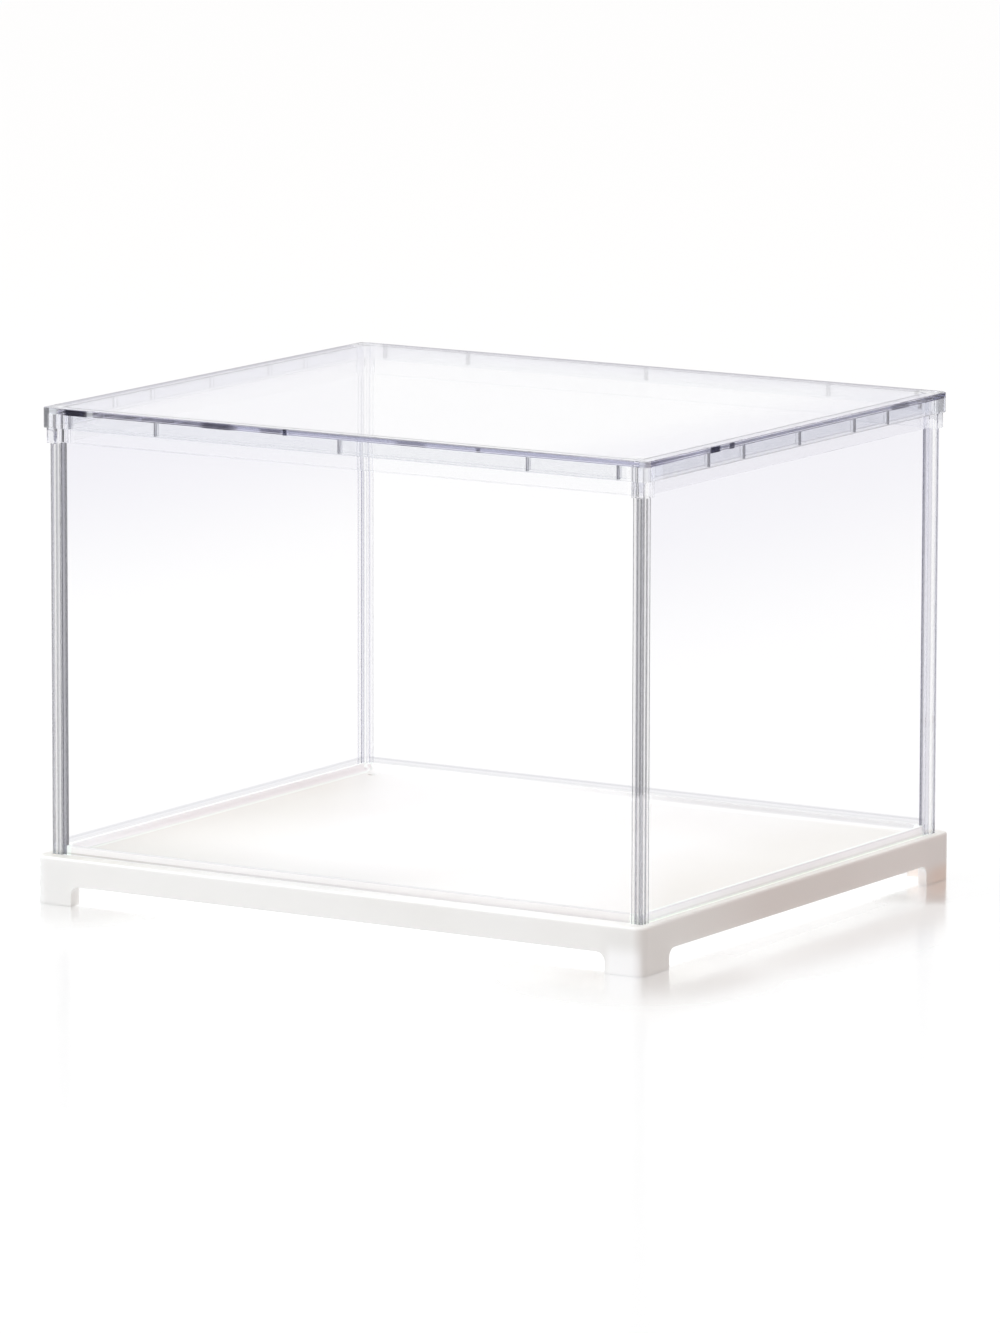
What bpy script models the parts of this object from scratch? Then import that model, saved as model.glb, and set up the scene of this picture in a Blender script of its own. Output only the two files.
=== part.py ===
# A clear display case: a white footed tray, four grooved corner posts, four side
# panels and a moulded clear lid that lifts straight off.
# Metres, +Z up. The origin lies on the ground under the middle of the tray, and
# the front of the case faces -Y. An inset is measured inwards from the lid's
# outer faces, unless its name says otherwise.

from math import cos, pi, sin

import bmesh
import bpy
from mathutils import Matrix, Vector

# Sizes of the whole case
TRAY_WIDTH = 0.350
TRAY_DEPTH = 0.300
CLEAR_HEIGHT = 0.2198
LID_MARGIN_X = 0.0016
LID_MARGIN_Y = 0.0045
FIT_GAP = 0.0003

# Tray
TRAY_CORNER_RADIUS = 0.006
TRAY_EDGE_RADIUS = 0.0012
APRON_HEIGHT = 0.0138
APRON_WALL = 0.0025
DECK_THICKNESS = 0.0025
FOOT_HEIGHT = 0.0102
FOOT_LENGTH_X = 0.021
FOOT_LENGTH_Y = 0.025
FOOT_WALL_X = 0.0048
FOOT_WALL_Y = 0.0074
ARCH_RADIUS = 0.0045
SEAT_DEPTH = 0.004
TROUGH_WALL = 0.0016
UPSTAND_HEIGHT = 0.004
UPSTAND_WALL = 0.0016
UPSTAND_EDGE_RADIUS = 0.0004
WAFFLE_COLUMNS = 5
WAFFLE_ROWS = 4
WAFFLE_RIB = 0.0016
WAFFLE_DEPTH = 0.005
DIMPLE_RADIUS = 0.0024
DIMPLE_DEPTH = 0.0008
DIMPLE_INSET_X = 0.0182
DIMPLE_INSET_Y = 0.0181

# Posts
POST_WIDTH = 0.006
POST_CORNER_RADIUS = 0.0006
POST_LIP = 0.001
POST_GROOVE_DEPTH = 0.0016

# Panels
PANEL_THICKNESS = 0.002
PANEL_EDGE_RADIUS = 0.0002

# Lid
LID_PLATE = 0.003
LID_SKIRT_HEIGHT = 0.010
LID_SKIRT_WALL = 0.0018
LID_CORNER_RADIUS = 0.0038
LID_EDGE_RADIUS = 0.0006
LIP_DEPTH = 0.0148
LIP_WALL = 0.0015
SOCKET_WALL = 0.0016
SKIRT_TO_POST = 0.0014
RIB_THICKNESS = 0.0011
RIB_RELIEF = 0.0005
RIB_SHARES_X = (-0.905, -0.614, 0.0, 0.614, 0.905)
RIB_SHARES_Y = (-0.593, -0.366, 0.0, 0.366, 0.593)

# How far a cutter runs past what it cuts, and how many facets go round a corner
OVERRUN = 0.002
CORNER_FACETS = 6
EDGE_FACETS = 3

# How much larger an outline is drawn while it is filled, so that its fill is exact,
# and the angle in radians under which the triangles of a fill are one flat face
DRAWN_SCALE = 1000
FLAT_ANGLE = 0.001

# Levels above the ground
DECK_LEVEL = FOOT_HEIGHT + APRON_HEIGHT
DECK_UNDERSIDE = DECK_LEVEL - DECK_THICKNESS
SEAT_LEVEL = DECK_LEVEL - SEAT_DEPTH
TROUGH_UNDERSIDE = SEAT_LEVEL - TROUGH_WALL
UPSTAND_TOP = DECK_LEVEL + UPSTAND_HEIGHT
PLATE_UNDERSIDE = DECK_LEVEL + CLEAR_HEIGHT
LID_TOP = PLATE_UNDERSIDE + LID_PLATE
SKIRT_BOTTOM = LID_TOP - LID_SKIRT_HEIGHT
LIP_BOTTOM = PLATE_UNDERSIDE - LIP_DEPTH

# Half sizes in plan
TRAY_HALF = Vector((TRAY_WIDTH / 2, TRAY_DEPTH / 2))
LID_HALF = TRAY_HALF - Vector((LID_MARGIN_X, LID_MARGIN_Y))

# Insets of the upright pieces and of what they stand in
POST_OUTER = LID_SKIRT_WALL + SKIRT_TO_POST
POST_INNER = POST_OUTER + POST_WIDTH
POCKET_OUTER = POST_OUTER - FIT_GAP
POCKET_INNER = POST_INNER + FIT_GAP
SLOT_OUTER = POST_OUTER + POST_LIP
PANEL_OUTER = SLOT_OUTER + FIT_GAP
PANEL_INNER = PANEL_OUTER + PANEL_THICKNESS
SLOT_INNER = PANEL_INNER + FIT_GAP
GROOVE_FLOOR = POST_INNER - POST_GROOVE_DEPTH
PANEL_END = GROOVE_FLOOR + FIT_GAP

# The four corners, each with the sides of the case that it lies on
CORNERS = {
    "front_left": (-1, -1),
    "front_right": (1, -1),
    "back_right": (1, 1),
    "back_left": (-1, 1),
}


def clear_scene():
    for obj in list(bpy.data.objects):
        bpy.data.objects.remove(obj, do_unlink=True)


def make_collection(name):
    collection = bpy.data.collections.new(name)
    bpy.context.scene.collection.children.link(collection)
    return collection


def make_white_plastic():
    material = bpy.data.materials.new("white_plastic")
    material.use_nodes = True
    shader = material.node_tree.nodes["Principled BSDF"]
    shader.inputs["Base Color"].default_value = (0.86, 0.85, 0.84, 1.0)
    shader.inputs["Roughness"].default_value = 0.38
    shader.inputs["Metallic"].default_value = 0.0
    return material


def make_clear_plastic(name, color, roughness):
    material = bpy.data.materials.new(name)
    material.use_nodes = True
    shader = material.node_tree.nodes["Principled BSDF"]
    shader.inputs["Base Color"].default_value = (*color, 1.0)
    shader.inputs["Roughness"].default_value = roughness
    shader.inputs["Metallic"].default_value = 0.0
    shader.inputs["IOR"].default_value = 1.49
    shader.inputs["Transmission Weight"].default_value = 1.0
    return material


def as_cutter(obj):
    obj.hide_render = True
    obj.display_type = "WIRE"
    return obj


def add_object(name, mesh, location, collection):
    obj = bpy.data.objects.new(name, mesh)
    obj.location = location
    collection.objects.link(obj)
    return obj


def rounded_block(name, half, height, bottom, corner_radius, edge_radius, collection):
    # An upright block on the middle of the case, round at its four corners and
    # along its top edge. Its origin is on its underside.
    mesh = bpy.data.meshes.new(name)
    bm = bmesh.new()
    bmesh.ops.create_cube(bm, size=1.0)
    bmesh.ops.scale(bm, vec=(2 * half.x, 2 * half.y, height), verts=bm.verts)
    bmesh.ops.translate(bm, vec=(0, 0, height / 2), verts=bm.verts)
    upright = [e for e in bm.edges if abs(e.verts[0].co.z - e.verts[1].co.z) > height / 2]
    bmesh.ops.bevel(
        bm,
        geom=upright,
        offset=corner_radius,
        segments=CORNER_FACETS,
        profile=0.5,
        affect="EDGES",
    )
    if edge_radius:
        top = [e for e in bm.edges if min(v.co.z for v in e.verts) > height / 2]
        bmesh.ops.bevel(
            bm,
            geom=top,
            offset=edge_radius,
            segments=EDGE_FACETS,
            profile=0.5,
            affect="EDGES",
        )
    bm.to_mesh(mesh)
    bm.free()
    return add_object(name, mesh, (0, 0, bottom), collection)


# How a flat outline (u, v) is turned to run along each axis: u and v become
# X and Y for a run along Z, Y and Z for one along X, X and Z for one along Y.
RUN_ALONG = {
    "Z": Matrix.Identity(3),
    "X": Matrix(((0, 0, 1), (1, 0, 0), (0, 1, 0))),
    "Y": Matrix(((1, 0, 0), (0, 0, -1), (0, 1, 0))),
}


def prism(name, outlines, low, high, collection, axis="Z", top_radius=0):
    # One or more closed flat outlines, filled and drawn out from low to high
    # along the axis. An outline inside another is a hole. The top edges may be
    # rounded.
    bm = bmesh.new()
    for outline in outlines:
        corners = [bm.verts.new((DRAWN_SCALE * u, DRAWN_SCALE * v, 0)) for u, v in outline]
        for before, corner in zip([corners[-1]] + corners, corners):
            bm.edges.new((before, corner))
    bmesh.ops.triangle_fill(bm, edges=bm.edges, use_beauty=True, use_dissolve=False)
    bmesh.ops.dissolve_limit(
        bm, angle_limit=FLAT_ANGLE, use_dissolve_boundaries=False, verts=bm.verts, edges=bm.edges
    )
    raised = bmesh.ops.extrude_face_region(bm, geom=bm.faces)["geom"]
    top = [item for item in raised if isinstance(item, bmesh.types.BMVert)]
    bmesh.ops.translate(bm, vec=(0, 0, DRAWN_SCALE * (high - low)), verts=top)
    bmesh.ops.translate(bm, vec=(0, 0, -DRAWN_SCALE * (high - low) / 2), verts=bm.verts)
    bmesh.ops.recalc_face_normals(bm, faces=bm.faces)
    if top_radius:
        bmesh.ops.bevel(
            bm,
            geom=[e for e in bm.edges if is_rim(e)],
            offset=DRAWN_SCALE * top_radius,
            segments=EDGE_FACETS,
            profile=0.5,
            affect="EDGES",
        )
    mesh = bpy.data.meshes.new(name)
    bm.to_mesh(mesh)
    bm.free()
    mesh.transform(RUN_ALONG[axis].to_4x4() @ Matrix.Scale(1 / DRAWN_SCALE, 4))
    middle = (high + low) / 2
    place = {"X": (middle, 0, 0), "Y": (0, middle, 0), "Z": (0, 0, middle)}[axis]
    return add_object(name, mesh, place, collection)


def is_rim(edge):
    # An edge between the flat top of a prism and one of its sides.
    if min(vert.co.z for vert in edge.verts) <= 0:
        return False
    return any(abs(face.normal.z) < sin(FLAT_ANGLE) for face in edge.link_faces)


def cut(obj, cutter, name):
    modifier = obj.modifiers.new(name, "BOOLEAN")
    modifier.operation = "DIFFERENCE"
    modifier.solver = "EXACT"
    modifier.object = as_cutter(cutter)


def join(obj, addition, name):
    modifier = obj.modifiers.new(name, "BOOLEAN")
    modifier.operation = "UNION"
    modifier.solver = "EXACT"
    modifier.object = as_cutter(addition)


def corner_point(inset_x, inset_y):
    # A point near the back right corner, by its insets.
    return (LID_HALF.x - inset_x, LID_HALF.y - inset_y)


def all_round(corner):
    # Mirrors the points of the back right corner, listed anticlockwise, into
    # the closed outline of a whole ring.
    outline = list(corner)
    outline += [(-x, y) for x, y in reversed(corner)]
    outline += [(-x, -y) for x, y in corner]
    outline += [(x, -y) for x, y in reversed(corner)]
    return outline


def square_ring(inset):
    return all_round([corner_point(inset, inset)])


def stepped_ring(inset, pocket):
    # Runs at one inset along the walls and steps inwards round the posts.
    return all_round(
        [
            corner_point(inset, pocket),
            corner_point(pocket, pocket),
            corner_point(pocket, inset),
        ]
    )


def rectangle(low_u, low_v, high_u, high_v):
    return [(low_u, low_v), (high_u, low_v), (high_u, high_v), (low_u, high_v)]


def in_corner(points, sides):
    # Points given by their insets, placed in one corner of the case.
    placed = [(sides[0] * (LID_HALF.x - u), sides[1] * (LID_HALF.y - v)) for u, v in points]
    if sides[0] * sides[1] < 0:
        placed.reverse()
    return placed


def rounded_corner(u, v, radius):
    # The outer corner of a post or socket: an arc from one face to the other.
    points = []
    for step in range(EDGE_FACETS + 1):
        angle = pi / 2 * step / EDGE_FACETS
        points.append((u + radius * (1 - cos(angle)), v + radius * (1 - sin(angle))))
    return points


def make_arch(name, half_span, half_reach, axis, cutters):
    # The open space between two feet, with a rounded springing at each side.
    points = [(-half_span, -OVERRUN), (half_span, -OVERRUN)]
    for side in (1, -1):
        for step in range(CORNER_FACETS + 1):
            angle = pi / 2 * step / CORNER_FACETS
            if side < 0:
                angle = pi / 2 - angle
            u = half_span - ARCH_RADIUS * (1 - cos(angle))
            v = FOOT_HEIGHT - ARCH_RADIUS * (1 - sin(angle))
            points.append((side * u, v))
    reach = half_reach + OVERRUN
    return prism(name, [points], -reach, reach, cutters, axis)


def make_underside(cutters):
    # The hollow under the deck. At each corner it leaves the thicker walls of
    # an L-shaped foot.
    x, y = TRAY_HALF
    corner = [
        (x - APRON_WALL, y - FOOT_LENGTH_Y),
        (x - FOOT_WALL_X, y - FOOT_LENGTH_Y),
        (x - FOOT_WALL_X, y - FOOT_WALL_Y),
        (x - FOOT_LENGTH_X, y - FOOT_WALL_Y),
        (x - FOOT_LENGTH_X, y - APRON_WALL),
    ]
    return prism("underside", [all_round(corner)], -OVERRUN, DECK_UNDERSIDE, cutters)


def make_trough(cutters):
    # The walls that hold the channel and the post pockets under the deck.
    wide = POCKET_OUTER - TROUGH_WALL
    along = SLOT_OUTER - TROUGH_WALL
    end = POCKET_INNER + UPSTAND_WALL
    corner = [
        corner_point(along, end),
        corner_point(wide, end),
        corner_point(wide, wide),
        corner_point(end, wide),
        corner_point(end, along),
    ]
    inner = stepped_ring(SLOT_INNER + UPSTAND_WALL, end)
    top = DECK_UNDERSIDE + DECK_THICKNESS / 2
    return prism("trough", [all_round(corner), inner], TROUGH_UNDERSIDE, top, cutters)


def make_waffle(cutters):
    # Stiffening ribs that cross under the deck, from trough to trough.
    inset = SLOT_INNER + UPSTAND_WALL / 2
    half_x, half_y = corner_point(inset, inset)
    pitch_x = 2 * half_x / WAFFLE_COLUMNS
    pitch_y = 2 * half_y / WAFFLE_ROWS
    outlines = [rectangle(-half_x, -half_y, half_x, half_y)]
    for column in range(WAFFLE_COLUMNS):
        for row in range(WAFFLE_ROWS):
            u = -half_x + column * pitch_x
            v = -half_y + row * pitch_y
            outlines.append(
                rectangle(
                    u + WAFFLE_RIB / 2,
                    v + WAFFLE_RIB / 2,
                    u + pitch_x - WAFFLE_RIB / 2,
                    v + pitch_y - WAFFLE_RIB / 2,
                )
            )
    low = DECK_UNDERSIDE - WAFFLE_DEPTH
    return prism("waffle", outlines, low, DECK_UNDERSIDE + DECK_THICKNESS / 2, cutters)


def make_upstand(cutters):
    # The low wall round the deck, which the panels and posts stand against.
    middle_of_slot = (SLOT_OUTER + SLOT_INNER) / 2
    inner = stepped_ring(SLOT_INNER + UPSTAND_WALL, POCKET_INNER + UPSTAND_WALL)
    low = DECK_LEVEL - DECK_THICKNESS / 2
    outlines = [square_ring(middle_of_slot), inner]
    return prism(
        "upstand", outlines, low, UPSTAND_TOP, cutters, top_radius=UPSTAND_EDGE_RADIUS
    )


def make_tray(parts, cutters, material):
    tray = rounded_block(
        "tray", TRAY_HALF, DECK_LEVEL, 0, TRAY_CORNER_RADIUS, TRAY_EDGE_RADIUS, parts
    )
    cut(tray, make_underside(cutters), "underside")
    cut(
        tray,
        make_arch("front_arch", TRAY_HALF.x - FOOT_LENGTH_X, TRAY_HALF.y, "Y", cutters),
        "front_and_back_arch",
    )
    cut(
        tray,
        make_arch("side_arch", TRAY_HALF.y - FOOT_LENGTH_Y, TRAY_HALF.x, "X", cutters),
        "side_arch",
    )
    join(tray, make_trough(cutters), "trough")
    join(tray, make_waffle(cutters), "waffle")
    join(tray, make_upstand(cutters), "upstand")
    above = UPSTAND_TOP + OVERRUN
    channel = [square_ring(SLOT_OUTER), square_ring(SLOT_INNER)]
    cut(tray, prism("channel", channel, SEAT_LEVEL, above, cutters), "channel")
    pocket = [
        (POCKET_OUTER, POCKET_OUTER),
        (POCKET_INNER, POCKET_OUTER),
        (POCKET_INNER, POCKET_INNER),
        (POCKET_OUTER, POCKET_INNER),
    ]
    pockets = [in_corner(pocket, sides) for sides in CORNERS.values()]
    cut(tray, prism("pockets", pockets, SEAT_LEVEL, above, cutters), "pockets")
    cut(tray, make_dimple(cutters), "dimple")
    tray.data.materials.append(material)
    return tray


def make_dimple(cutters):
    # The small round mark that the mould leaves in the deck, back left.
    mesh = bpy.data.meshes.new("dimple")
    bm = bmesh.new()
    bmesh.ops.create_cone(
        bm,
        cap_ends=True,
        segments=4 * CORNER_FACETS,
        radius1=DIMPLE_RADIUS,
        radius2=DIMPLE_RADIUS,
        depth=2 * DIMPLE_DEPTH,
    )
    bm.to_mesh(mesh)
    bm.free()
    place = (DIMPLE_INSET_X - LID_HALF.x, LID_HALF.y - DIMPLE_INSET_Y, DECK_LEVEL)
    return add_object("dimple", mesh, place, cutters)


def make_post(name, sides, parts, material):
    # A square bar with a groove in each of the two faces that a panel enters.
    near, far = POST_OUTER, POST_INNER
    section = rounded_corner(near, near, POST_CORNER_RADIUS)
    section += [
        (far, near),
        (far, SLOT_OUTER),
        (GROOVE_FLOOR, SLOT_OUTER),
        (GROOVE_FLOOR, SLOT_INNER),
        (far, SLOT_INNER),
        (far, far),
        (SLOT_INNER, far),
        (SLOT_INNER, GROOVE_FLOOR),
        (SLOT_OUTER, GROOVE_FLOOR),
        (SLOT_OUTER, far),
        (near, far),
    ]
    foot = SEAT_LEVEL + FIT_GAP
    head = PLATE_UNDERSIDE - FIT_GAP
    post = prism(name, [in_corner(section, sides)], foot, head, parts)
    post.data.materials.append(material)
    return post


def make_panel(name, side, parts, material):
    # A flat sheet between two posts. Front and back run along X, the others
    # along Y. The side says which way the panel faces.
    foot = SEAT_LEVEL + FIT_GAP
    head = PLATE_UNDERSIDE - FIT_GAP
    middle = (PANEL_OUTER + PANEL_INNER) / 2
    size = Vector((PANEL_THICKNESS, PANEL_THICKNESS, head - foot))
    run = 1 if side.x else 0
    size[run] = 2 * (LID_HALF[run] - PANEL_END)
    mesh = bpy.data.meshes.new(name)
    bm = bmesh.new()
    bmesh.ops.create_cube(bm, size=1.0)
    bmesh.ops.scale(bm, vec=size, verts=bm.verts)
    bm.to_mesh(mesh)
    bm.free()
    place = (
        side.x * (LID_HALF.x - middle),
        side.y * (LID_HALF.y - middle),
        (foot + head) / 2,
    )
    panel = add_object(name, mesh, place, parts)
    bevel = panel.modifiers.new("polished_edges", "BEVEL")
    bevel.width = PANEL_EDGE_RADIUS
    bevel.segments = 1
    panel.data.materials.append(material)
    return panel


def make_lid_sockets(cutters):
    # An L-shaped wall outside each post, longer than the skirt that it backs.
    outer = POCKET_OUTER - SOCKET_WALL
    section = rounded_corner(outer, outer, max(LID_CORNER_RADIUS - outer, FIT_GAP))
    section += [
        (POST_INNER, outer),
        (POST_INNER, POCKET_OUTER),
        (POCKET_OUTER, POCKET_OUTER),
        (POCKET_OUTER, POST_INNER),
        (outer, POST_INNER),
    ]
    outlines = [in_corner(section, sides) for sides in CORNERS.values()]
    return prism("sockets", outlines, LIP_BOTTOM, PLATE_UNDERSIDE + LID_PLATE / 2, cutters)


def make_lid_lip(cutters):
    # The locating wall inside the panels, stepped inwards round the posts.
    outer = stepped_ring(PANEL_INNER + FIT_GAP, POCKET_INNER)
    inner = stepped_ring(PANEL_INNER + FIT_GAP + LIP_WALL, POCKET_INNER + LIP_WALL)
    return prism("lip", [outer, inner], LIP_BOTTOM, PLATE_UNDERSIDE + LID_PLATE / 2, cutters)


def make_lid_ribs(cutters):
    # Short ribs inside the skirt, which keep the panels against the lip.
    near = LID_SKIRT_WALL / 2
    far = PANEL_OUTER - FIT_GAP
    half = RIB_THICKNESS / 2
    outlines = []
    for side in (-1, 1):
        for share in RIB_SHARES_X:
            x = share * LID_HALF.x
            ends = sorted((side * (LID_HALF.y - near), side * (LID_HALF.y - far)))
            outlines.append(rectangle(x - half, ends[0], x + half, ends[1]))
        for share in RIB_SHARES_Y:
            y = share * LID_HALF.y
            ends = sorted((side * (LID_HALF.x - near), side * (LID_HALF.x - far)))
            outlines.append(rectangle(ends[0], y - half, ends[1], y + half))
    low = SKIRT_BOTTOM + RIB_RELIEF
    return prism("ribs", outlines, low, PLATE_UNDERSIDE + LID_PLATE / 2, cutters)


def make_lid(parts, cutters, material):
    lid = rounded_block(
        "lid",
        LID_HALF,
        LID_SKIRT_HEIGHT,
        SKIRT_BOTTOM,
        LID_CORNER_RADIUS,
        LID_EDGE_RADIUS,
        parts,
    )
    wall = Vector((LID_SKIRT_WALL, LID_SKIRT_WALL))
    hollow = rounded_block(
        "lid_hollow",
        LID_HALF - wall,
        LID_SKIRT_HEIGHT - LID_PLATE + OVERRUN,
        SKIRT_BOTTOM - OVERRUN,
        max(LID_CORNER_RADIUS - LID_SKIRT_WALL, FIT_GAP),
        0,
        cutters,
    )
    cut(lid, hollow, "hollow")
    join(lid, make_lid_lip(cutters), "lip")
    join(lid, make_lid_sockets(cutters), "sockets")
    join(lid, make_lid_ribs(cutters), "ribs")
    lid.data.materials.append(material)
    return lid


def main():
    clear_scene()
    parts = make_collection("display_case")
    cutters = make_collection("cutters")
    white = make_white_plastic()
    clear_moulding = make_clear_plastic("clear_moulding", (0.93, 0.94, 0.98), 0.06)
    clear_bar = make_clear_plastic("clear_bar", (0.90, 0.90, 0.92), 0.08)
    clear_sheet = make_clear_plastic("clear_sheet", (0.96, 0.96, 0.99), 0.03)

    pieces = [make_tray(parts, cutters, white)]
    for name, sides in CORNERS.items():
        pieces.append(make_post("post_" + name, sides, parts, clear_bar))
    facings = {"front": (0, -1), "right": (1, 0), "back": (0, 1), "left": (-1, 0)}
    for name, side in facings.items():
        pieces.append(make_panel("panel_" + name, Vector(side), parts, clear_sheet))
    pieces.append(make_lid(parts, cutters, clear_moulding))

    case = bpy.data.objects.new("case_origin", None)
    parts.objects.link(case)
    for piece in pieces:
        piece.parent = case


main()
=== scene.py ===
from math import cos, radians, sin

import bpy
from mathutils import Matrix, Vector


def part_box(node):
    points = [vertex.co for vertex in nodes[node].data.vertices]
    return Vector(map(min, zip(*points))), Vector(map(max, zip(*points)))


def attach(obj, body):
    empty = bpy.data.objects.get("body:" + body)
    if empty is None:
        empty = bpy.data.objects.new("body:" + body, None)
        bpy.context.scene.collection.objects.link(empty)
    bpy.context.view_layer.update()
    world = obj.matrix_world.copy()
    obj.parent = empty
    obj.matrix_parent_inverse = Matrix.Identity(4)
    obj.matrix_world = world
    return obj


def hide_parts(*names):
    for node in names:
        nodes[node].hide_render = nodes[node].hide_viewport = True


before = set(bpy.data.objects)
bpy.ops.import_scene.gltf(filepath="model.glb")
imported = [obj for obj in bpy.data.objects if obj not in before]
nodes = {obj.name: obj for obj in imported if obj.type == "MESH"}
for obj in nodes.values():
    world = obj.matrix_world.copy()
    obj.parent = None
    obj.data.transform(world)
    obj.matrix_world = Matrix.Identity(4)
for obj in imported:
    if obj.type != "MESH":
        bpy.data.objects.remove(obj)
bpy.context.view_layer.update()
lidLow, lidHigh = [Vector(corner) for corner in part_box("lid")]
scene = bpy.context.scene
scene.view_settings.view_transform = "Standard"
# light runs a long way inside clear edges, so it may bounce more often
scene.cycles.max_bounces = 32
scene.cycles.glossy_bounces = 24
scene.cycles.transmission_bounces = 24
scene.cycles.transparent_max_bounces = 24
for node in nodes.values():
    node.select_set(False)
print("frame loaded:", len(nodes), "nodes")

fullTone, noTone = (1, 1, 1, 1), (0, 0, 0, 1)
acrylicIor = 1.49
squarely, mostly = 0.7, 0.5  # how far a normal points along the axis that its face looks along
grainSpan = (0.3, 0.7)       # the part of a noise's range that is used
hair = 0.0001                # a face lies this close to its named place


# puts a value, a socket or a mask into a socket
def plug(end, given):
    if isinstance(given, Mask):
        given = given.socket
    if isinstance(given, bpy.types.NodeSocket):
        end.id_data.links.new(given, end)
    else:
        end.default_value = given


# a node with its settings, then with its sockets filled by name or number
def addNode(tree, kind, sockets=None, **settings):
    node = tree.nodes.new(kind)
    for name, value in settings.items():
        setattr(node, name, value)
    for name, given in (sockets or {}).items():
        plug(node.inputs[name], given)
    return node


# a number that changes over a surface, kept as the socket that gives it:
# masks add, multiply and compare like plain numbers, | takes the larger and & the smaller
class Mask:
    def __init__(self, socket):
        self.socket = socket

    def reckon(self, operation, other=0.0, flipped=False):
        first, second = (other, self) if flipped else (self, other)
        tree = self.socket.id_data
        node = addNode(tree, "ShaderNodeMath", {0: first, 1: second}, operation=operation)
        return Mask(node.outputs[0])

    def __add__(self, other):
        return self.reckon("ADD", other)

    def __sub__(self, other):
        return self.reckon("SUBTRACT", other)

    def __rsub__(self, other):
        return self.reckon("SUBTRACT", other, flipped=True)

    def __mul__(self, other):
        return self.reckon("MULTIPLY", other)

    def __gt__(self, other):
        return self.reckon("GREATER_THAN", other)

    def __lt__(self, other):
        return self.reckon("LESS_THAN", other)

    def __or__(self, other):
        return self.reckon("MAXIMUM", other)

    def __and__(self, other):
        return self.reckon("MINIMUM", other)

    def __abs__(self):
        return self.reckon("ABSOLUTE")

    # a soft step between two ends
    def ramp(self, low, high, start=0.0, end=1.0):
        sockets = {"Value": self, "From Min": low, "From Max": high, "To Min": start, "To Max": end}
        tree = self.socket.id_data
        node = addNode(tree, "ShaderNodeMapRange", sockets, interpolation_type="SMOOTHSTEP")
        return Mask(node.outputs[0])

    # the first value where the mask is 0, and the second where it is 1
    def pick(self, first, second):
        return self.ramp(0, 1, first, second)

    def near(self, middle, half):
        return abs(self - middle) < half

    def between(self, low, high):
        return self.near((low + high) / 2, (high - low) / 2)


def anyOf(masks):
    whole = masks[0]
    for mask in masks[1:]:
        whole = whole | mask
    return whole


def splitAxes(source):
    node = addNode(source.id_data, "ShaderNodeSeparateXYZ", {0: source})
    return [Mask(end) for end in node.outputs]


def distanceTo(source, point):
    sockets = {0: source, 1: (*point, 0)}
    node = addNode(source.id_data, "ShaderNodeVectorMath", sockets, operation="DISTANCE")
    return Mask(node.outputs["Value"])


# where a shader is on the case, and which way the face looks there
class Spot:
    def __init__(self, tree):
        shape = addNode(tree, "ShaderNodeNewGeometry").outputs
        self.tree = tree
        self.where = addNode(tree, "ShaderNodeTexCoord").outputs["Object"]
        self.x, self.y, self.z = splitAxes(self.where)
        self.across, self.deep = abs(self.x), abs(self.y)
        self.turn = dict(zip("XYZ", splitAxes(shape["Normal"])))
        self.inside = Mask(shape["Backfacing"])


def mixTone(mask, first, second, blend="MIX"):
    sockets = {0: mask, 6: first, 7: second}
    node = addNode(mask.socket.id_data, "ShaderNodeMix", sockets, data_type="RGBA", blend_type=blend)
    return node.outputs[2]


def mixShaders(mask, first, second):
    return addNode(mask.socket.id_data, "ShaderNodeMixShader", {0: mask, 1: first, 2: second}).outputs[0]


def newMaterial(name):
    material = bpy.data.materials.new(name)
    material.use_nodes = True
    material.node_tree.nodes.clear()
    return material, material.node_tree


# lays the nodes out in columns, each to the right of what feeds it
def arrange(tree, width=200, height=180):
    column = {node.name: 0 for node in tree.nodes}
    settled = False
    while not settled:
        settled = True
        for link in tree.links:
            after = column[link.from_node.name] + 1
            if column[link.to_node.name] < after:
                column[link.to_node.name] = after
                settled = False
    filled = {}
    for node in tree.nodes:
        place = column[node.name]
        filled[place] = filled.get(place, 0) + 1
        node.location = (place * width, -filled[place] * height)


def finishTree(tree, surface, kind="ShaderNodeOutputMaterial", volume=None):
    out = addNode(tree, kind, {"Surface": surface})
    if volume is not None:
        plug(out.inputs["Volume"], volume)
    arrange(tree)


# the camera stands in front and to the right, a little above the case
cameraSettings = {
    "azimuth": 31.91, "elevation": 9.551, "roll": 0.132,
    "distance": 4.58769, "across": 0.00144, "height": 0.11296,
    "lens": 249.76, "sensor": 36.0, "farthest": 60,
}


def makeCamera(s):
    a, e, r = radians(s["azimuth"]), radians(s["elevation"]), radians(s["roll"])
    back = Vector((sin(a) * cos(e), -cos(a) * cos(e), sin(e)))
    right = (-back).cross(Vector((0, 0, 1))).normalized()
    up = right.cross(-back)
    sideways = cos(r) * right + sin(r) * up
    upwards = -sin(r) * right + cos(r) * up
    target = right * s["across"] + Vector((0, 0, s["height"]))
    camera = bpy.data.objects.new("camera", bpy.data.cameras.new("camera"))
    scene.collection.objects.link(camera)
    turn = Matrix((sideways, upwards, back)).transposed().to_4x4()
    camera.matrix_world = Matrix.Translation(target + back * s["distance"]) @ turn
    camera.data.lens = s["lens"]
    camera.data.sensor_width = s["sensor"]
    camera.data.clip_end = s["farthest"]
    scene.camera = camera


makeCamera(cameraSettings)
print("camera placed")

# white studio: the world shows white behind the case and in its glass, and lights it less
worldSettings = {
    "shown": 1.0, "turn": (-0.5, 0.8),
    "leftLight": (0.76, 0.73, 0.735, 1), "rightLight": (0.68, 0.60, 0.56, 1),
}


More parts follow.
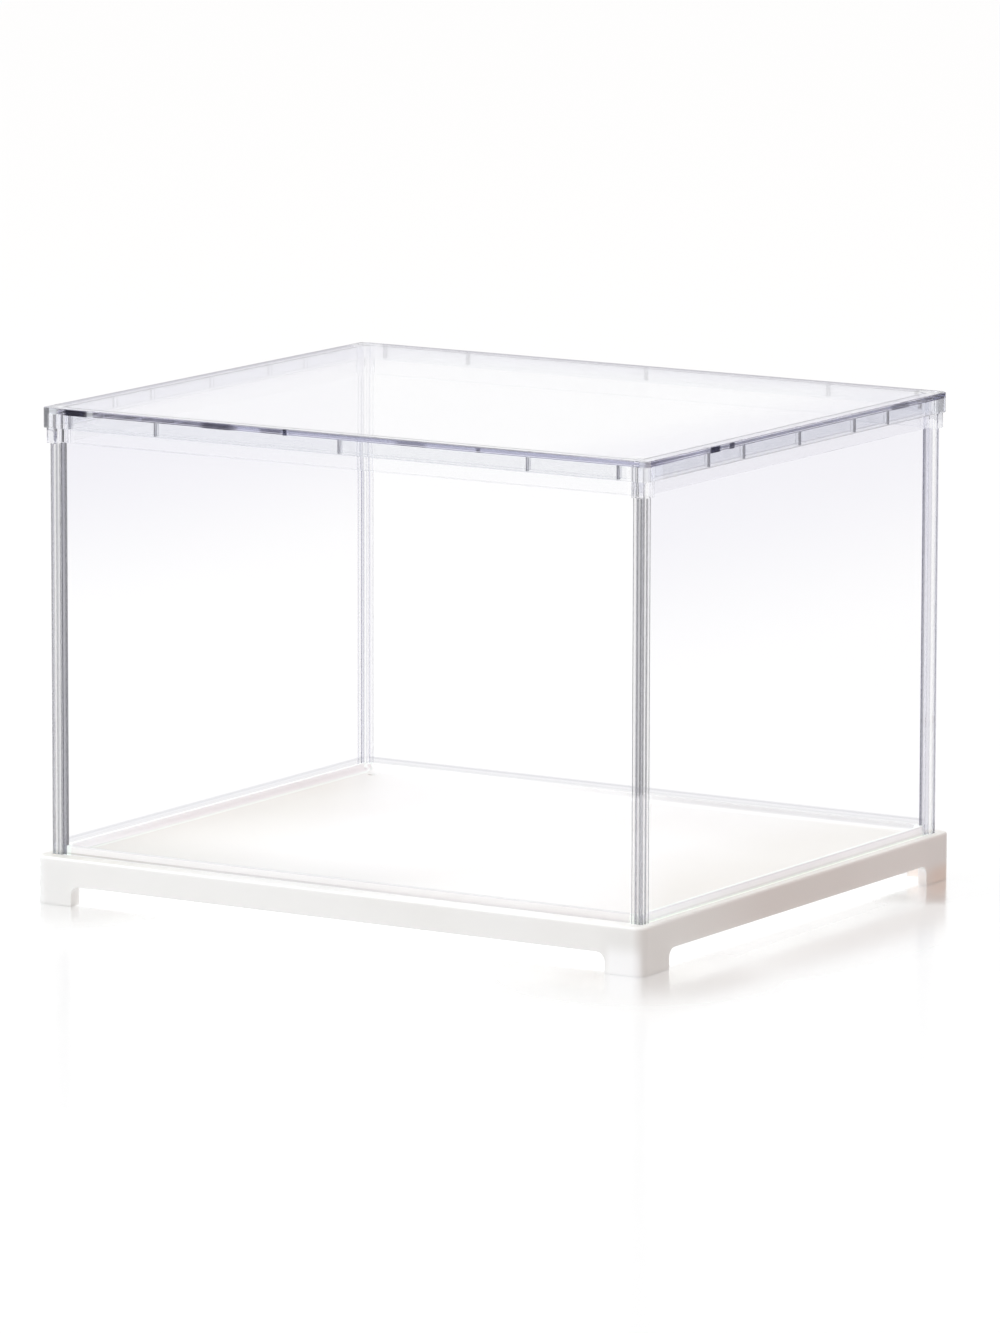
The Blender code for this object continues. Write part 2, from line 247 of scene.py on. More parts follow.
def makeWorld(s):
    world = bpy.data.worlds.new("studio")
    world.use_nodes = True
    tree = world.node_tree
    tree.nodes.clear()
    # the light from the right is a little dimmer and warmer
    across, _, _ = splitAxes(addNode(tree, "ShaderNodeTexCoord").outputs["Generated"])
    colour = mixTone(across.ramp(*s["turn"]), s["leftLight"], s["rightLight"])
    light = addNode(tree, "ShaderNodeBackground", {"Color": colour}).outputs[0]
    shown = addNode(tree, "ShaderNodeBackground", {"Color": fullTone, "Strength": s["shown"]}).outputs[0]
    paths = addNode(tree, "ShaderNodeLightPath").outputs
    seen = Mask(paths["Is Camera Ray"]) | paths["Is Glossy Ray"] | paths["Is Transmission Ray"]
    finishTree(tree, mixShaders(seen, light, shown), "ShaderNodeOutputWorld")
    scene.world = world


makeWorld(worldSettings)

# one soft lamp above the front left
lampSettings = {
    "place": (-0.82, -1.20, 2.03), "aim": (0, 0, 0.1),
    "size": 1.2, "power": 44, "colour": (0.9, 1.0, 1.03),
}


def makeLamp(name, s):
    data = bpy.data.lights.new(name, "AREA")
    data.size = s["size"]
    data.energy = s["power"]
    data.color = s["colour"]
    lamp = bpy.data.objects.new(name, data)
    lamp.location = s["place"]
    lamp.rotation_euler = (Vector(s["place"]) - Vector(s["aim"])).to_track_quat("Z", "Y").to_euler()
    lamp.visible_camera = False
    lamp.visible_glossy = False
    lamp.visible_transmission = False
    scene.collection.objects.link(lamp)


makeLamp("key", lampSettings)
print("studio lit")

# pale floor; pairs of brightness are in the open and under the tray, where painted light lifts the
# tray's shade
floorSettings = {
    "size": 14.0, "colour": (0.13, 0.128, 0.125, 1), "roughness": 0.17,
    "shown": (0.895, 1.05), "glow": (0.44, 1.1), "underSoft": (-0.006, 0.004),
    "feet": (0.172, 0.147), "sheen": (0.82, 0.19), "fade": (0.0, 0.09),
    "rightSheen": 0.31, "rightFrom": (0.176, 0.196), "rightTo": (0.225, 0.270),
    "rightFront": (-0.20, 0.02),
    "farFoot": (0.186, 0.118), "farReach": (0.020, 0.060), "farSheen": 0.96,
}


def makeFloor(s):
    bpy.ops.mesh.primitive_plane_add(size=s["size"])
    floor = bpy.context.object
    floor.name = "floor"
    material, tree = newMaterial("pale floor")
    where = addNode(tree, "ShaderNodeTexCoord").outputs["Object"]
    x, y, _ = splitAxes(where)
    # painted light: the floor glows brighter under the tray, where the tray would shade it
    soft, hard = s["underSoft"]
    covers = [size.ramp(edge + soft, edge + hard, 1.0, 0.0)
              for size, edge in zip((abs(x), abs(y)), s["feet"])]
    under = covers[0] * covers[1]
    # the sheet mirrors the four feet and soon fades
    mirrored = addNode(tree, "ShaderNodeVectorMath", {0: where}, operation="ABSOLUTE").outputs[0]
    fade = distanceTo(mirrored, s["feet"]).ramp(*s["fade"], *s["sheen"])
    # to the right of the case it also mirrors the case's side
    beside = x.ramp(*s["rightFrom"], 0.0, s["rightSheen"]) * x.ramp(*s["rightTo"], 1.0, 0.0)
    fade = fade | (beside * y.ramp(*s["rightFront"]) + s["sheen"][1])
    # the far right foot shows more strongly
    fade = fade | distanceTo(where, s["farFoot"]).ramp(*s["farReach"], s["farSheen"], 0.0)
    scattered = Mask(addNode(tree, "ShaderNodeLightPath").outputs["Is Diffuse Ray"])
    # painted light: the stronger glow under the tray, both as seen and as light thrown on the case
    level = scattered.pick(under.pick(*s["shown"]), under.pick(*s["glow"]))
    matt = addNode(tree, "ShaderNodeBsdfDiffuse", {"Color": s["colour"]}).outputs[0]
    light = addNode(tree, "ShaderNodeEmission", {"Strength": level}).outputs[0]
    both = addNode(tree, "ShaderNodeAddShader", {0: matt, 1: light}).outputs[0]
    sockets = {"Color": fullTone, "Roughness": s["roughness"]}
    shine = addNode(tree, "ShaderNodeBsdfGlossy", sockets).outputs[0]
    finishTree(tree, mixShaders(fade * (1 - under), both, shine))
    floor.data.materials.append(material)
    floor.select_set(False)


makeFloor(floorSettings)
print("floor laid")


# fine grain and slow waves of a moulded surface, for every plastic here
def makeSurfaceGroup():
    group = bpy.data.node_groups.new("moulded surface", "ShaderNodeTree")
    for label, value in (("Grain Scale", 900.0), ("Wave Scale", 14.0), ("Depth", 0.00002)):
        socket = group.interface.new_socket(label, in_out="INPUT", socket_type="NodeSocketFloat")
        socket.default_value = value
    for label, kind in (("Grain", "Float"), ("Wave", "Float"), ("Normal", "Vector")):
        group.interface.new_socket(label, in_out="OUTPUT", socket_type="NodeSocket" + kind)
    given = addNode(group, "NodeGroupInput").outputs
    where = addNode(group, "ShaderNodeTexCoord").outputs["Object"]
    noises = {}
    for label, detail in (("Grain", 3), ("Wave", 2)):
        sockets = {"Vector": where, "Scale": given[label + " Scale"], "Detail": detail}
        noises[label] = addNode(group, "ShaderNodeTexNoise", sockets).outputs["Fac"]
    bump = addNode(group, "ShaderNodeBump", {"Height": noises["Grain"], "Distance": given["Depth"]})
    addNode(group, "NodeGroupOutput", {**noises, "Normal": bump.outputs["Normal"]})
    arrange(group)
    return group


surfaceGroup = makeSurfaceGroup()


def addSurface(tree, s):
    sockets = {"Grain Scale": s["grainScale"], "Wave Scale": s["waveScale"], "Depth": s["depth"]}
    return addNode(tree, "ShaderNodeGroup", sockets, node_tree=surfaceGroup).outputs


# white moulded plastic: thin ribs let a little light through
whiteSettings = {
    "colour": (0.86, 0.85, 0.84, 1), "worn": (0.83, 0.815, 0.80, 1), "cloud": (0.4, 0.75),
    "roughness": (0.34, 0.44), "grainScale": 1400.0, "waveScale": 9.0, "depth": 0.00001,
    "through": 0.55, "reach": 0.0028, "deck": (0.0238, 0.0246),
    # painted shade: the deck is darker and warmer towards its ends, along the upstand, and shaded at its
    # front left
    "endShade": (0.915, 0.905, 0.875, 1), "endShadeFrom": (0.045, 0.160), "endShadeSlant": 0.62,
    "endShadeTurn": (0.060, 0.110),
    "shade": (0.87, 0.87, 0.865, 1), "shadeAcross": (-0.020, 0.055), "shadeDeep": (-0.132, -0.055),
    # a fine shadow where the upstand meets the channel
    "line": (0.0230, 0.0244), "lineTone": (0.95, 0.95, 0.96, 1),
    # painted shade: the right side is darker and warmer towards the back, and the back of the upstand is
    # darker too
    "side": (0.92, 0.88, 0.87, 1), "sideFrom": (-0.13, -0.02), "farEdge": (0.78, 0.78, 0.795, 1),
    "farFrom": (-0.10, 0.06), "farDeep": (0.1336, 0.1360), "farAbove": (0.0247, 0.0262),
    # painted light: one back foot is tinted as if it stood in warm light
    "warm": (1.0, 0.89, 0.82, 1), "warmReach": (0.010, 0.034), "warmTop": (0.004, 0.012),
    # painted light: the upstand and its channel glow a little, so they look bright
    "glow": (0.20, 0.215, 0.25, 1), "glowIn": (0.1612, 0.1333), "glowOut": (0.1701, 0.1422),
    "glowFrom": 0.0236, "glowTurn": (0, 0.8), "channelFrom": 0.0195,
    "channelGlow": (0.066, 0.062, 0.062, 1), "leftGlow": (0.125, 0.172, 0.150, 1),
    "rightGlow": (0.20, 0.25, 0.215, 1),
    # painted light: the near foot glows a little low down, as if lit from the table
    "footGlow": (0.13, 0.135, 0.15, 1), "footFrom": (0.1530, 0.1580), "footTurn": (-0.9, -0.5),
    "footTop": (0.007, 0.017),
}


# 1 between two rectangles round the middle of the case
def addRing(at, inner, outer):
    beyond = (at.across > inner[0]) | (at.deep > inner[1])
    within = (at.across < outer[0]) & (at.deep < outer[1])
    return beyond * within


def makeWhite(s):
    material, tree = newMaterial("white moulded plastic")
    at, surface = Spot(tree), addSurface(tree, s)
    tone = mixTone(Mask(surface["Wave"]).ramp(*s["cloud"]), s["colour"], s["worn"])
    deck = at.z.between(*s["deck"])
    slant = abs(at.x + at.y * s["endShadeSlant"])
    # painted shade: the deck darkens and warms towards its ends
    endShade = at.across.ramp(*s["endShadeFrom"]) * deck * slant.ramp(*s["endShadeTurn"])
    # painted shade at the deck's front left
    shade = at.x.ramp(*s["shadeAcross"], 1.0, 0.0) * at.y.ramp(*s["shadeDeep"], 1.0, 0.0) * deck
    ring = addRing(at, s["glowIn"], s["glowOut"])
    line = at.z.between(*s["line"]) * ring
    # painted shade: the right side darkens towards the back
    rightShade = (at.turn["X"] > mostly) * at.y.ramp(*s["sideFrom"])
    # painted shade on the back of the upstand
    edge = at.y.ramp(*s["farDeep"]) * at.z.ramp(*s["farAbove"]) * at.x.ramp(*s["farFrom"])
    # painted light: warm tint low on the back right foot
    warm = distanceTo(at.where, floorSettings["feet"]).ramp(*s["warmReach"], 1.0, 0.0)
    warm = warm * at.z.ramp(*s["warmTop"], 1.0, 0.0)
    for mask, tint in ((endShade, s["endShade"]), (shade, s["shade"]), (line, s["lineTone"]),
                       (rightShade, s["side"]), (edge, s["farEdge"]), (warm, s["warm"])):
        tone = mixTone(mask, tone, tint, "MULTIPLY")
    # painted light: emission on the upstand and in its channel
    glow = mixTone(at.x > 0, s["leftGlow"], s["rightGlow"])
    glow = mixTone(at.across > s["glowIn"][0], s["channelGlow"], glow)
    glow = mixTone(at.z > s["channelFrom"], noTone, glow)
    high = (at.z > s["glowFrom"]) * abs(at.turn["X"]).ramp(*s["glowTurn"])
    glow = mixTone(ring, noTone, mixTone(high, glow, s["glow"]))
    # painted light: the near foot's low front glows
    foot = at.x.ramp(*s["footFrom"]) * at.turn["Y"].ramp(*s["footTurn"], 1.0, 0.0)
    foot = foot * at.z.ramp(*s["footTop"], 1.0, 0.0)
    body = addNode(tree, "ShaderNodeBsdfPrincipled", {
        "Base Color": tone, "Normal": surface["Normal"],
        "Roughness": Mask(surface["Grain"]).ramp(*grainSpan, *s["roughness"]),
        "Subsurface Weight": s["through"], "Subsurface Scale": s["reach"],
        "Subsurface Radius": (1.0, 1.0, 1.0),
        "Emission Color": mixTone(foot, glow, s["footGlow"]), "Emission Strength": 1.0,
    })
    finishTree(tree, body.outputs[0])
    return material


# where a ray inside the plastic is thrown back: share of the light, and tilt of the face
throwFrom, throwTilt = 0.999, 0.6


# clear acrylic, as a solid that bends light: one tone where it is looked into, and a painted reflection
# tone where it throws back
def makeClear(name, s, faceTone, bounceTone, addHaze):
    material, tree = newMaterial(name)
    at = Spot(tree)
    total = Mask(addNode(tree, "ShaderNodeFresnel", {"IOR": acrylicIor}).outputs[0]) > throwFrom
    thrown = total * at.inside * (abs(at.turn["Z"]) < throwTilt)
    # painted reflection: faces that throw light back inside take a tone of their own
    tone = mixTone(thrown, faceTone(at, s), bounceTone(at, s))
    sockets = {"Color": tone, "IOR": acrylicIor, "Roughness": 0.0}
    body = addNode(tree, "ShaderNodeBsdfGlass", sockets).outputs[0]
    surface = addHaze(at, s, body)
    # light goes straight through on its way to other things
    paths = addNode(tree, "ShaderNodeLightPath").outputs
    passing = Mask(paths["Is Shadow Ray"]) | paths["Is Diffuse Ray"]
    surface = mixShaders(passing, surface, addNode(tree, "ShaderNodeBsdfTransparent").outputs[0])
    volume = addNode(tree, "ShaderNodeVolumeAbsorption", {"Color": s["tint"], "Density": s["density"]})
    finishTree(tree, surface, volume=volume.outputs[0])
    return material


# a share of milky plastic over the clear one
def addMilk(at, s, share, body, tone):
    surface = addSurface(at.tree, s)
    milk = addNode(at.tree, "ShaderNodeBsdfPrincipled", {
        "Base Color": tone, "Normal": surface["Normal"],
        "Roughness": Mask(surface["Grain"]).ramp(*grainSpan, *s["roughness"]),
    })
    return mixShaders(share, body, milk.outputs[0])


# corner posts: extruded bars
barSettings = {
    "tint": (0.40, 0.42, 0.62, 1), "density": 4.2, "roughness": (0.2, 0.3),
    "grainScale": 1200.0, "waveScale": 30.0, "depth": 0.000004,
    # painted reflection tones: light thrown back inside the posts is greyed, less on the back posts,
    # which stand against the light, and least at the posts' tops, which the lid's sockets light
    "bounce": (0.66, 0.66, 0.69, 1), "backBounce": (0.86, 0.86, 0.89, 1),
    "topBounce": (0.95, 0.95, 0.97, 1),
    # painted reflection: the floors of the grooves stay bright
    "floor": 0.0076, "floorBounce": (0.85, 0.85, 0.87, 1),
    # painted shade: the inner wall of each groove is darker, and less so in the back posts
    "groove": (0.50, 0.50, 0.53, 1), "backGroove": (0.92, 0.92, 0.95, 1), "wall": (0.0066, 0.0070),
    "reach": 0.0075,
    # extruded bars are never quite clear: their outer sides carry a grey haze, which is also painted
    # shade and weaker on the back posts
    "milk": (0.42, 0.42, 0.43, 1), "milky": (0.07, 0.13), "backMilky": 0.3,
    # painted light: low down, the near post is made lighter, as it stands before the white deck
    "low": 0.086, "lowBounce": (0.82, 0.82, 0.86, 1), "lowShare": 0.5,
    # shaded strips: left or right, front or back, facing, from and to, inset of the face, tone
    "strips": ((1, -1, "Y", (0.0047, 0.0068), 0.0032, (0.66, 0.66, 0.67, 1)),
               (1, 1, "Y", (0.0074, 0.0090), 0.0092, (0.48, 0.48, 0.51, 1)),
               (-1, -1, "X", (0.0052, 0.0078), 0.0092, (0.60, 0.60, 0.61, 1))),
}


# the low part of the near post, where lighter tones are painted
def addLow(at, s):
    return (at.z < s["low"]) * (at.x > 0) * (at.y < 0)


def barBounce(at, s):
    # painted reflection tones of the posts
    tone = mixTone(at.y > 0, s["bounce"], s["backBounce"])
    tone = mixTone(addLow(at, s), tone, s["lowBounce"])
    floors = at.across.near(lidHigh.x - s["floor"], hair) | at.deep.near(lidHigh.y - s["floor"], hair)
    tone = mixTone(floors, tone, s["floorBounce"])
    return mixTone(at.z > lidLow.z, tone, s["topBounce"])


def barFace(at, s):
    insets = [lidHigh.x - at.across, lidHigh.y - at.deep]
    walls = [first.between(*s["wall"]) * (second > s["reach"])
             for first, second in (insets, insets[::-1])]
    below = at.z < lidLow.z
    # painted shade on the grooves' inner walls
    grooveShade = mixTone(at.y > 0, s["groove"], s["backGroove"])
    tone = mixTone(anyOf(walls) * below, fullTone, grooveShade)
    for side, depth, facing, span, inset, shade in s["strips"]:
        along, other = insets if facing == "Y" else insets[::-1]
        strip = along.between(*span) * other.near(inset, hair) * (abs(at.turn[facing]) > squarely)
        strip = strip * (at.x * side > 0) * (at.y * depth > 0) * below
        tone = mixTone(strip, tone, shade)
    return mixTone(addLow(at, s).pick(0.0, s["lowShare"]), tone, fullTone)


def barHaze(at, s, body):
    # grey haze, partly painted shade, on the posts' front and back faces
    share = (abs(at.turn["Y"]) > squarely).pick(*s["milky"]) * (at.y > 0).pick(1.0, s["backMilky"])
    share = share * (at.z < lidLow.z) * addLow(at, s).pick(1.0, s["lowShare"])
    return addMilk(at, s, share, body, s["milk"])


# the lid: plate, skirt and lip each have their own clearness
lidSettings = {
    "tint": (0.40, 0.42, 0.62, 1), "density": 4.2, "roughness": (0.25, 0.38),
    "grainScale": 900.0, "waveScale": 12.0, "depth": 0.00001,
    "plate": 0.0030, "skirt": 0.010, "corner": 0.0150, "skirtStep": 0.0003,
    # painted reflection tones of what is thrown back inside the plate, the skirt and the corners
    "sideBounce": (0.03, 0.03, 0.06, 1), "leftEnd": (0.70, 0.70, 0.73, 1), "leftEndTo": (-0.108, -0.104),
    "endBounce": (0.62, 0.645, 0.69, 1), "skirtBounce": (0.45, 0.45, 0.50, 1),
    "cornerBounce": (0.88, 0.88, 0.91, 1),
    # the plate's right edge is shaded by the near corner, and the right of the skirt looks faintly blue
    "edgeShade": (0.62, 0.60, 0.66, 1), "shadeFrom": 0.70, "skirtTint": (0.978, 0.985, 1.0, 1),
    # dark and soft places along the plate's edge: axis, middle, half length, strength
    "marks": (("X", -0.1530, 0.0068, 0.95), ("X", -0.0700, 0.0090, 0.6), ("X", -0.0304, 0.0012, 0.9),
              ("Y", -0.0819, 0.0048, 0.95), ("Y", -0.0663, 0.0024, 0.8), ("Y", 0.0970, 0.0090, 0.45)),
    "markEnds": (0.7, 1.2), "markTone": (0.06, 0.06, 0.10, 1),
    # pale patches on the plate's front edge: middle, half length, strength
    "palePatches": ((-0.1441, 0.0020, 0.33), (-0.1690, 0.0060, 0.50)),
    "patchEnds": (0.5, 1.3), "patchLeast": 0.02,
    # milk of the skirt and lip, and of the fine lines along their lower edges
    "milk": (0.62, 0.635, 0.69, 1), "skirtMilk": 0.13, "lipMilk": 0.05, "backMilk": 0.27,
    "skirtSoft": 0.0002,
    "line": 0.0006, "lineMilk": (0.34, 0.15), "lineBeside": (1.0, 0.1), "cornerClear": 0.7,
    # painted reflection: the plate's milk gathers towards its ends and its back
    "plateTone": (0.57, 0.55, 0.67, 1), "plateMilk": 0.02, "endFrom": 0.55, "backFrom": 0.70,
    "rimMilk": (0.12, 0.14), "rimTurn": (-0.02, 0.02),
    "rimLine": (0.0072, 0.0035), "rimLineMilk": 0.82, "rimTone": (0.30, 0.29, 0.32, 1),
    # clamping ribs between skirt and lip
    "ribsAcross": (0.0, 0.1065, 0.1569), "ribsDeep": (0.0, 0.0533, 0.0863), "ribHalf": 0.00075,
    "ribFrom": (0.0017, 0.0026), "ribEnd": 0.0045, "ribMilk": 0.95, "ribDark": (0.09, 0.09, 0.12, 1),
    # the skirt's rounded corners: two carry a painted highlight, the other two painted grey shade
    "skin": 0.0013, "shadeSkin": 0.0050, "radius": (0.0038, 0.0054), "shine": (0.32, 0.72),
    "shineLeast": 0.05, "shineMilk": (0.95, 0.97, 1.0, 1), "shadeMilk": (0.20, 0.20, 0.21, 1),
}
skirtEnd = lidHigh.z - lidSettings["skirt"]


def inPlate(at, s):
    return at.z > lidHigh.z - s["plate"] - hair


def inCorner(at, s):
    return (at.across > lidHigh.x - s["corner"]) * (at.deep > lidHigh.y - s["corner"])


# painted reflection tones of the lid
def lidBounce(at, s):
    sideTone = mixTone(at.y.ramp(*s["leftEndTo"], 1.0, 0.0), s["sideBounce"], s["leftEnd"])
    plateTone = mixTone(abs(at.turn["X"]) > squarely, s["endBounce"], sideTone)
    for rib in s["ribsDeep"]:
        plateTone = mixTone(at.deep.near(rib, s["ribHalf"] * 2), plateTone, s["endBounce"])
    lower = mixTone(inCorner(at, s), s["skirtBounce"], s["cornerBounce"])
    return mixTone(inPlate(at, s), lower, plateTone)


def lidFace(at, s):
    right, front = at.turn["X"] > squarely, at.turn["Y"] < -squarely
    shade = at.deep.ramp(lidHigh.y * s["shadeFrom"], lidHigh.y) * right
    tone = mixTone(shade, fullTone, s["edgeShade"])
    near, far = s["markEnds"]
    marks = []
    for axis, middle, half, strength in s["marks"]:
        along, looking = (at.x, front) if axis == "X" else (at.y, right)
        marks.append(abs(along - middle).ramp(half * near, half * far, strength, 0.0) * looking)
    tone = mixTone(anyOf(marks), tone, s["markTone"])
    skirt = (at.z > skirtEnd + s["skirtStep"]) * right
    return mixTone(inPlate(at, s), mixTone(skirt, fullTone, s["skirtTint"]), tone)


def skirtShare(at, s):
    soft = s["skirtSoft"]
    share = at.z.ramp(skirtEnd - soft, skirtEnd + soft, s["lipMilk"], s["skirtMilk"])
    rear = (at.y > lidHigh.y - s["ribEnd"]) * (at.z > skirtEnd)
    share = share | rear * s["backMilk"]
    frontal = abs(at.turn["Y"]) > mostly
    half = s["line"] / 2
    for level, amount, beside in zip((skirtEnd, lidLow.z), s["lineMilk"], s["lineBeside"]):
        share = share | at.z.near(level + half, half) * frontal.pick(beside, 1.0) * amount
    return share


def rimLines(at, s):
    ends = at.x.ramp(*[lidLow.x + inset for inset in s["rimLine"]])
    back = at.y.ramp(*[lidHigh.y - inset for inset in s["rimLine"]])
    return (ends | back) * s["rimLineMilk"]


# painted reflection: milk towards the plate's ends and back
def plateShare(at, s, lines):
    ends = at.across.ramp(lidHigh.x * s["endFrom"], lidHigh.x)
    back = at.y.ramp(lidHigh.y * s["backFrom"], lidHigh.y)
    rim = (ends | back) * at.x.ramp(*s["rimTurn"], *s["rimMilk"])
    return (rim | lines) * (abs(at.turn["Z"]) > mostly) + s["plateMilk"]


# painted shade: each clamping rib is painted as a dark tick
def ribTicks(at, s):
    outer, inner = s["ribFrom"]
    ticks = []
    for along, spots, other, edge, backInner in (
            (at.across, s["ribsAcross"], at.deep, lidHigh.y, s["ribEnd"]),
            (at.deep, s["ribsDeep"], at.across, lidHigh.x, inner)):
        reached = (other > (at.y > 0).pick(edge - inner, edge - backInner)) * (other < edge - outer)
        ticks += [along.near(spot, s["ribHalf"]) * reached for spot in spots]
    return anyOf(ticks) * (1 - inPlate(at, s)) * (at.z > skirtEnd + s["skirtStep"])


def patchShare(at, s):
    near, far = s["patchEnds"]
    spots = [abs(at.x - middle).ramp(half * near, half * far, strength, 0.0)
             for middle, half, strength in s["palePatches"]]
    return anyOf(spots) * (at.turn["Y"] < -squarely) * inPlate(at, s)


def cornerSkins(at, s):
    farX, farY = lidHigh.x - at.across, lidHigh.y - at.deep
    shaded = at.x * at.y > 0
    # painted highlight on two corners, painted grey shade on the other two
    skin = ((farX & farY) < s["skin"]) * ((farX | farY) < shaded.pick(*s["radius"]))
    narrow = (farX < s["shadeSkin"]) * (abs(at.turn["Y"]) > mostly)
    bright, grey = s["shine"]
    share = (shaded * narrow).pick(0, grey) + (1 - shaded) * bright
    share = skin * (at.z > skirtEnd - hair) * share
    return share, mixTone(shaded, s["shineMilk"], s["shadeMilk"])


def lidHaze(at, s, body):
    plate, ribs, lines = inPlate(at, s), ribTicks(at, s), rimLines(at, s)
    palePatches = patchShare(at, s)
    corners, cornerTone = cornerSkins(at, s)
    share = plate.pick(skirtShare(at, s), plateShare(at, s, lines))
    share = share * (1 - inCorner(at, s) * s["cornerClear"])
    share = anyOf([share, ribs * s["ribMilk"], palePatches, corners])
    tone = mixTone(plate, s["milk"], mixTone(lines, s["plateTone"], s["rimTone"]))
    tone = mixTone(ribs, tone, s["ribDark"])
    tone = mixTone(palePatches > s["patchLeast"], tone, s["shineMilk"])
    tone = mixTone(corners > s["shineLeast"], tone, cornerTone)
    return addMilk(at, s, share, body, tone)


# side panels: thin clear sheet, painted dark where one looks into its sawn ends
paneSettings = {
    "body": (0.9, 0.9, 0.96, 1), "roughness": (0.03, 0.08), "clear": (0.997, 0.997, 0.999, 1),
    "sheenIor": 1.2, "grainScale": 700.0, "waveScale": 8.0, "depth": 0.000004,
    # painted reflection: the sheets at the two ends look faintly lavender towards the lid
    "lavenderReflection": (0.937, 0.935, 0.962, 1), "reflectionHeight": (0.130, 0.236), "rightReflection": 0.80,
    # painted shade: fine grey lines just above the upstand: height, half width, left and back sheets
    # only, tone
    "lines": ((0.0295, 0.0014, True, (0.935, 0.935, 0.945, 1)),
              (0.0283, 0.0003, False, (0.90, 0.90, 0.91, 1)),
              (0.0302, 0.00035, True, (0.87, 0.87, 0.885, 1))),
    "farSlope": 0.9, "farBeyond": -0.012, "frontTo": -0.138,
    "sawn": (0.0093, 0.0071), "end": (0.58, 0.58, 0.60, 1), "backEnd": (0.82, 0.82, 0.86, 1),
}


def makePane(s):
    material, tree = newMaterial("clear sheet")
    at, surface = Spot(tree), addSurface(tree, s)
    # painted reflection on the end sheets, rising towards the lid
    lavenderReflection = at.z.ramp(*s["reflectionHeight"]) * (abs(at.turn["X"]) > mostly)
    lavenderReflection = lavenderReflection * (at.x > 0).pick(1.0, s["rightReflection"])
    tone = mixTone(lavenderReflection, s["clear"], s["lavenderReflection"])
    farther = (at.y - at.x * s["farSlope"] > s["farBeyond"]) * (at.y > s["frontTo"])
    for height, half, farOnly, lineTone in s["lines"]:
        # painted shade lines
        line = at.z.near(height, half)
        tone = mixTone(line * farther if farOnly else line, tone, lineTone)
    # sawn ends, seen through the posts' grooves, carry painted shade, lighter on the back sheets
    ends = []
    for axis, size, edge in (("X", at.across, lidHigh.x), ("Y", at.deep, lidHigh.y)):
        there = size.between(*[edge - inset for inset in s["sawn"]])
        ends.append(there * (abs(at.turn[axis]) > mostly))
    endTone = mixTone(at.y > 0, s["end"], s["backEnd"])
    tone = mixTone(anyOf(ends) * (at.z < lidLow.z), tone, endTone)
    seeThrough = addNode(tree, "ShaderNodeBsdfTransparent", {"Color": tone}).outputs[0]
    body = addNode(tree, "ShaderNodeBsdfPrincipled", {
        "Base Color": s["body"], "IOR": acrylicIor,
        "Roughness": Mask(surface["Wave"]).ramp(*grainSpan, *s["roughness"]),
    })
    sheen = addNode(tree, "ShaderNodeFresnel", {"IOR": s["sheenIor"]}).outputs[0]
    finishTree(tree, mixShaders((1 - at.inside) * sheen, seeThrough, body.outputs[0]))
    return material


whitePlastic = makeWhite(whiteSettings)
clearBar = makeClear("clear bar", barSettings, barFace, barBounce, barHaze)
clearMoulding = makeClear("clear moulding", lidSettings, lidFace, lidBounce, lidHaze)
clearSheet = makePane(paneSettings)
print("materials made")

# seams closer than this are merged, flatter edges dissolved, and gentler bends shaded smooth
pieceSettings = {"merge": 0.000002, "flat": radians(0.4), "smooth": radians(32)}


def selectOnly(piece):
    bpy.ops.object.select_all(action="DESELECT")
    piece.select_set(True)
    bpy.context.view_layer.objects.active = piece


# a clean working copy of one of the case's solids
def startPiece(nodeName, name, material, s=pieceSettings):
    piece = bpy.data.objects.new(name, nodes[nodeName].data.copy())
    scene.collection.objects.link(piece)
    piece.data.materials.clear()
    piece.data.materials.append(material)
    selectOnly(piece)
    bpy.ops.object.mode_set(mode="EDIT")
    bpy.ops.mesh.select_mode(type="EDGE")
    bpy.ops.mesh.select_all(action="SELECT")
    bpy.ops.mesh.remove_doubles(threshold=s["merge"])
    bpy.ops.mesh.dissolve_limited(angle_limit=s["flat"])
    bpy.ops.mesh.select_all(action="DESELECT")
    bpy.ops.object.mode_set(mode="OBJECT")
    return piece


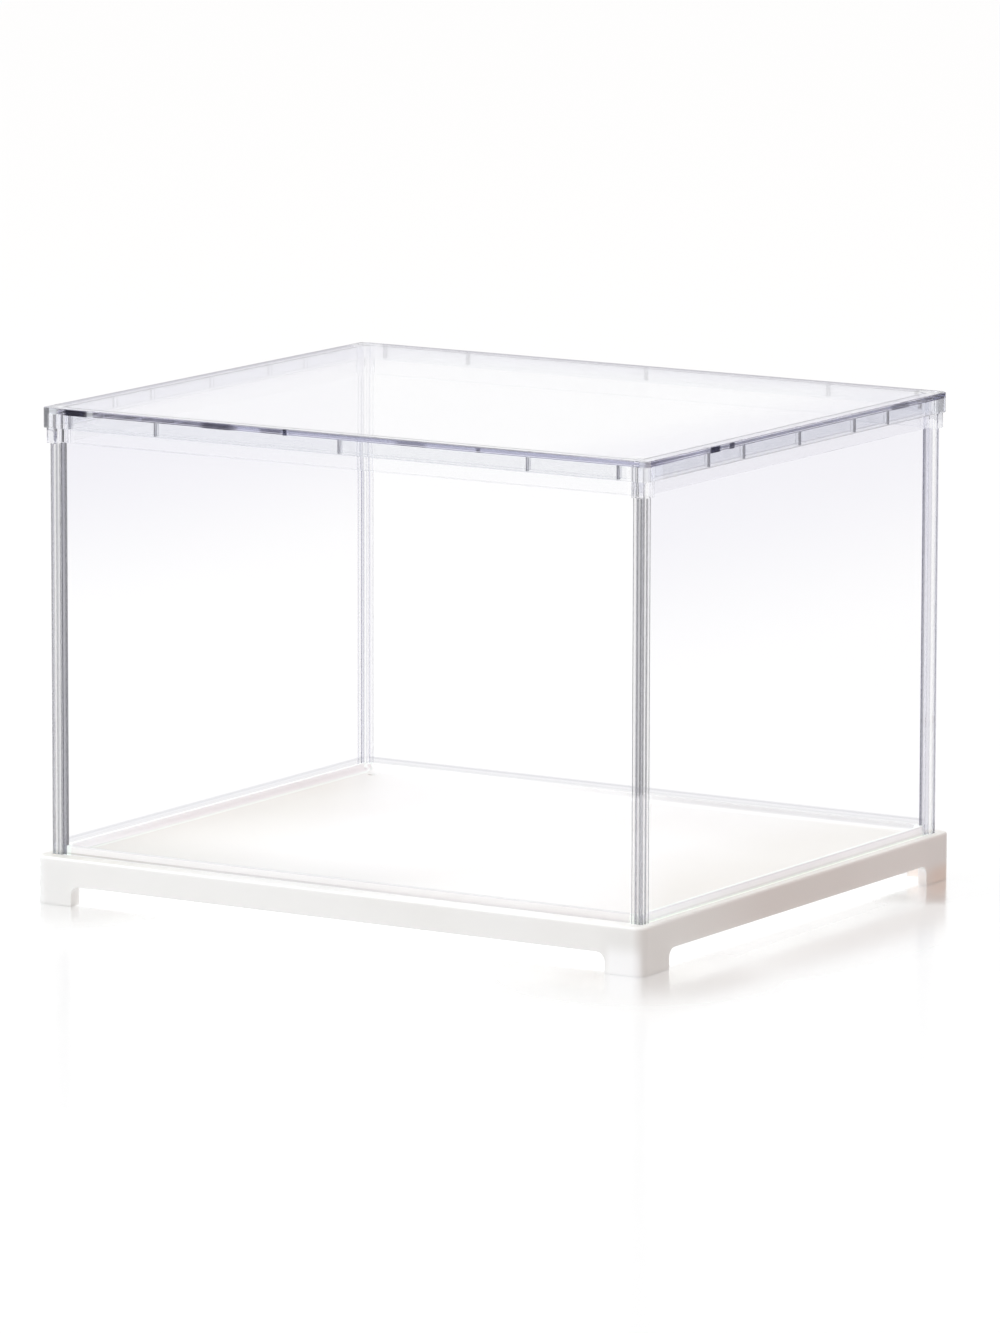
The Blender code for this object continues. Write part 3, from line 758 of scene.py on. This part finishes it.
# rounds every edge whose two ends pass the test
def roundEdges(piece, test, width, segments):
    mesh = piece.data
    points = mesh.vertices
    for part in (*mesh.polygons, *points):
        part.select = False
    for edge in mesh.edges:
        edge.select = test(*[points[end].co for end in edge.vertices])
    print(piece.name, "edges rounded:", sum(edge.select for edge in mesh.edges))
    bpy.ops.object.mode_set(mode="EDIT")
    bpy.ops.mesh.bevel(offset=width, segments=segments, profile=0.5, affect="EDGES")
    bpy.ops.mesh.select_all(action="DESELECT")
    bpy.ops.object.mode_set(mode="OBJECT")


def finishPiece(piece, body, slot, *replaced, s=pieceSettings):
    selectOnly(piece)
    bpy.ops.object.shade_smooth_by_angle(angle=s["smooth"])
    weigh = piece.modifiers.new("weigh normals", "WEIGHTED_NORMAL")
    weigh.keep_sharp = True
    bpy.ops.object.modifier_apply(modifier=weigh.name)
    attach(piece, body)
    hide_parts(*replaced)
    piece.select_set(False)


# the tray: a cove runs where the upstand meets the deck, clear of the round mould mark
traySettings = {
    "deck": 0.024, "cove": 0.0034, "coveSteps": 8, "coveWithin": (0.1651, 0.1372),
    "mark": (-0.155, 0.1274), "markRadius": 0.004, "level": 0.00002, "straight": 0.00001,
}


def makeTray(s):
    tray = startPiece("tray", "white_tray", whitePlastic)

    def atCove(first, second):
        ends = (first, second)
        level = all(abs(end.z - s["deck"]) < s["level"] for end in ends)
        within = all(abs(end[axis]) < s["coveWithin"][axis] for end in ends for axis in (0, 1))
        straight = min(abs(first.x - second.x), abs(first.y - second.y)) < s["straight"]
        middle = ((first + second) / 2).xy
        onMark = (middle - Vector(s["mark"])).length < s["markRadius"]
        return level and within and straight and not onMark

    roundEdges(tray, atCove, s["cove"], s["coveSteps"])
    finishPiece(tray, "case", "white_plastic", "tray")


makeTray(traySettings)
print("tray dressed")

lid = startPiece("lid", "clear_lid", clearMoulding)
finishPiece(lid, "lid", "clear_moulding", "lid")
print("lid dressed")

for corner in ("front_left", "front_right", "back_right", "back_left"):
    post = startPiece("post_" + corner, "clear_post_" + corner, clearBar)
    finishPiece(post, "case", "clear_bar", "post_" + corner)
print("posts dressed")

# the panels stay as they are and only get their sheet
for name, node in nodes.items():
    if name.startswith("panel"):
        for slot in node.material_slots:
            slot.material = clearSheet
print("panels dressed")
